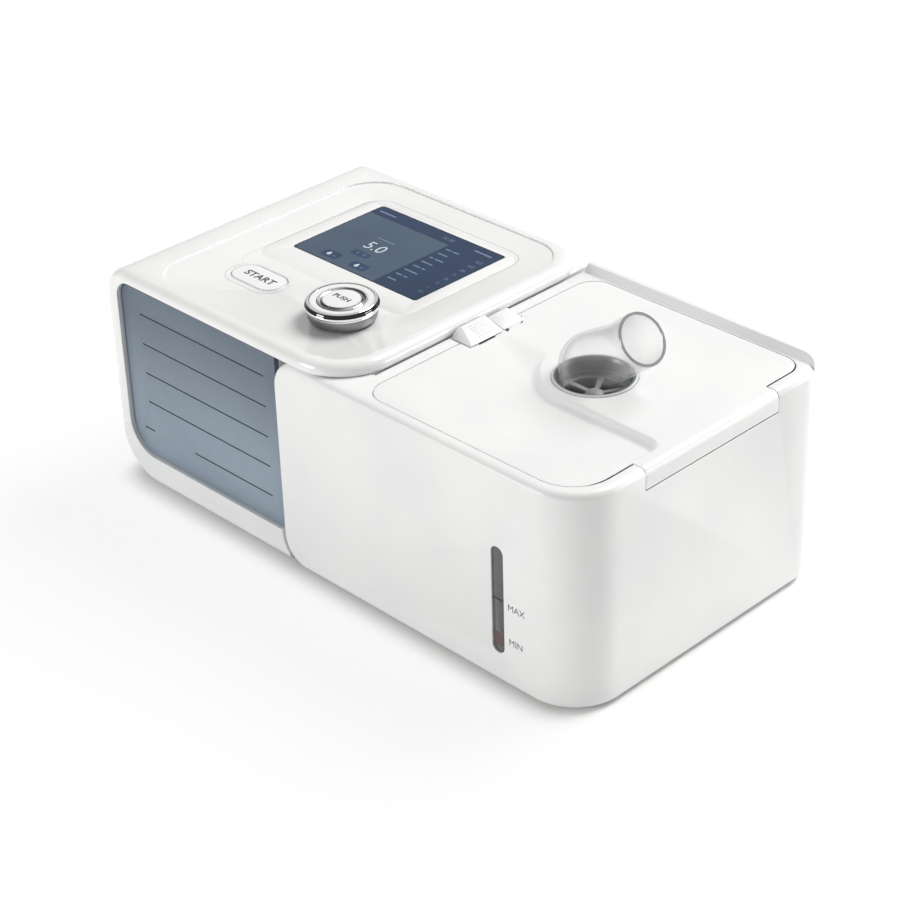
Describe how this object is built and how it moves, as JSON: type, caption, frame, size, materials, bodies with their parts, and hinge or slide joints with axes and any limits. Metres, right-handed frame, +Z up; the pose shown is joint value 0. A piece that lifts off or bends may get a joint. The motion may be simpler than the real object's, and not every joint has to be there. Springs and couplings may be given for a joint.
{
  "type": "cpap machine",
  "caption": "Tabletop CPAP machine: blower unit with screen, push-and-turn knob and START key, docked heated humidifier, hinged lid and swivelling clear elbow.",
  "frame": {"origin": "on the table under the middle of the machine's 272 x 144 mm footprint", "axes": "+X from the main unit towards the humidifier's end, +Y from the front (panel and water gauge) to the back, +Z up"},
  "size_m": [0.272, 0.144, 0.1305],
  "materials": {
    "white_casing": "satin",
    "blue_panel": "matte",
    "rubber_feet": "matte",
    "printed_overlay": "gloss",
    "screen_glass": "gloss",
    "board": "matte",
    "steel": "brushed",
    "bright_metal": "polished",
    "dark_plastic": "matte",
    "blower_plastic": "matte",
    "foam": "matte",
    "silicone": "matte",
    "motor_steel": "satin",
    "heater_alloy": "satin",
    "clear_plastic": "gloss",
    "gauge_lens": "gloss"
  },
  "bodies": {
    "main_unit": {"main_shell": "white_casing", "base_tray": "white_casing", "front_panel": "blue_panel", "main_feet": "rubber_feet", "control_overlay": "printed_overlay", "screen_window": "screen_glass", "screen_module": "dark_plastic", "control_board": "board", "board_screws": "steel", "rotary_encoder": "steel", "start_switch": "dark_plastic", "muffler_box": "blower_plastic", "muffler_foam": "foam", "air_filter": "foam", "blower_mount": "silicone", "volute_base": "blower_plastic", "volute_cover": "blower_plastic", "blower_motor": "motor_steel", "outlet_spigot": "blower_plastic", "power_board": "board", "power_screws": "steel", "power_jack": "dark_plastic", "dock_socket": "dark_plastic"},
    "knob_shaft": {"push_shaft": "steel"},
    "knob": {"knob_skirt": "bright_metal", "knob_band": "bright_metal", "knob_cap": "white_casing", "knob_inner_ring": "bright_metal", "knob_centre": "white_casing"},
    "start_key": {"start_button": "white_casing"},
    "blower_rotor": {"impeller": "blower_plastic"},
    "filter_door": {"filter_cover": "white_casing"},
    "humidifier": {"humid_shell": "white_casing", "humid_feet": "rubber_feet", "water_window": "gauge_lens", "dock_plug": "dark_plastic", "dock_seal": "silicone", "heater_cup": "dark_plastic", "heater_pad": "silicone", "heater_plate": "heater_alloy", "water_tank": "clear_plastic", "tank_plate": "steel"},
    "lid": {"lid_panel": "white_casing", "lid_liner": "dark_plastic", "lid_gasket": "silicone", "hinge_pins": "steel", "port_ring": "silicone", "outlet_baffle": "dark_plastic"},
    "latch": {"latch_pad": "white_casing"},
    "elbow": {"outlet_elbow": "clear_plastic"}
  },
  "joints": [
    {"name": "knob_press", "type": "slide", "parent": "main_unit", "child": "knob_shaft", "axis": [0, 0, -1], "range_m": [0, 0.0005], "stiffness_N_per_m": 600},
    {"name": "knob_turn", "type": "hinge", "parent": "knob_shaft", "child": "knob", "pos_m": [-0.0242, -0.0365, 0.103], "axis": [0, 0, 1], "continuous": true},
    {"name": "start_press", "type": "slide", "parent": "main_unit", "child": "start_key", "axis": [0, 0, -1], "range_m": [0, 0.0006], "stiffness_N_per_m": 500},
    {"name": "rotor_spin", "type": "hinge", "parent": "main_unit", "child": "blower_rotor", "pos_m": [-0.086, 0.01, 0.06], "axis": [0, 0, 1], "continuous": true},
    {"name": "filter_hinge", "type": "hinge", "parent": "main_unit", "child": "filter_door", "pos_m": [-0.1086, 0.0709, 0.0145], "axis": [0, 0, 1], "range_deg": [0, 100]},
    {"name": "humidifier_slide", "type": "slide", "parent": "main_unit", "child": "humidifier", "axis": [1, 0, 0], "range_m": [0, 0.04]},
    {"name": "lid_hinge", "type": "hinge", "parent": "humidifier", "child": "lid", "pos_m": [0.1335, 0.00275, 0.0908], "axis": [0, 1, 0], "range_deg": [0, 95]},
    {"name": "latch_slide", "type": "slide", "parent": "lid", "child": "latch", "axis": [1, 0, 0], "range_m": [0, 0.002], "stiffness_N_per_m": 150},
    {"name": "elbow_swivel", "type": "hinge", "parent": "lid", "child": "elbow", "pos_m": [0.076, 0.003, 0.098], "axis": [0, 0, 1], "continuous": true}
  ]
}
